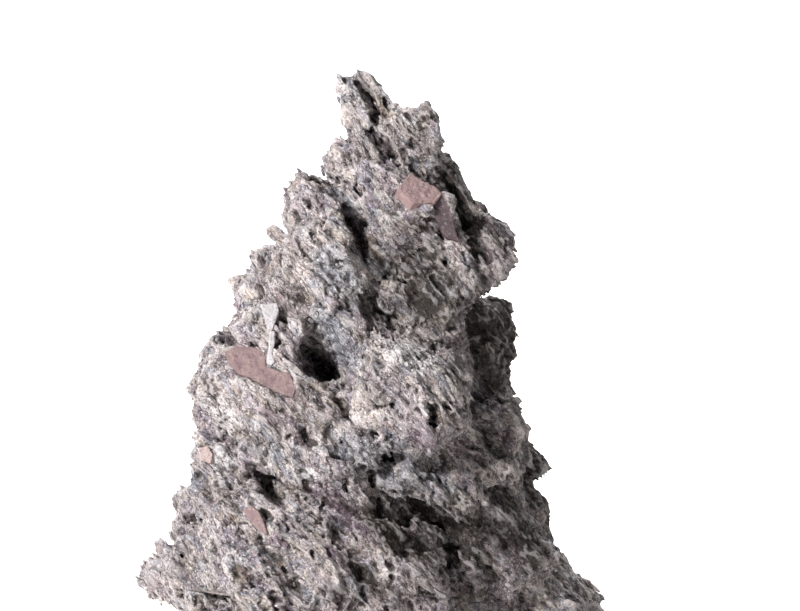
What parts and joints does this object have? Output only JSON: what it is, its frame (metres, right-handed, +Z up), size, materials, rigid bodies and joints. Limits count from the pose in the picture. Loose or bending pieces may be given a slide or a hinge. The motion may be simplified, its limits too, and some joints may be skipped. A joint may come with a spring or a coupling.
{
  "type": "aquascaping rock",
  "caption": "Craggy pointed volcanic stone with slanting flakes, pits and one cave, standing on a flat broken base; hardscape for an aquarium or terrarium.",
  "frame": {"origin": "on the flat base, 180 mm straight below the summit's left horn", "axes": "+Z up from the base to the summit; seen from the pictured side, +X to the right and +Y to the back"},
  "size_m": [0.1503, 0.1104, 0.1796],
  "materials": {
    "stone": "rough, broken and pitted; grey-mauve with pink, white and ochre clasts"
  },
  "bodies": {
    "root": {"rock": "stone"}
  },
  "joints": []
}
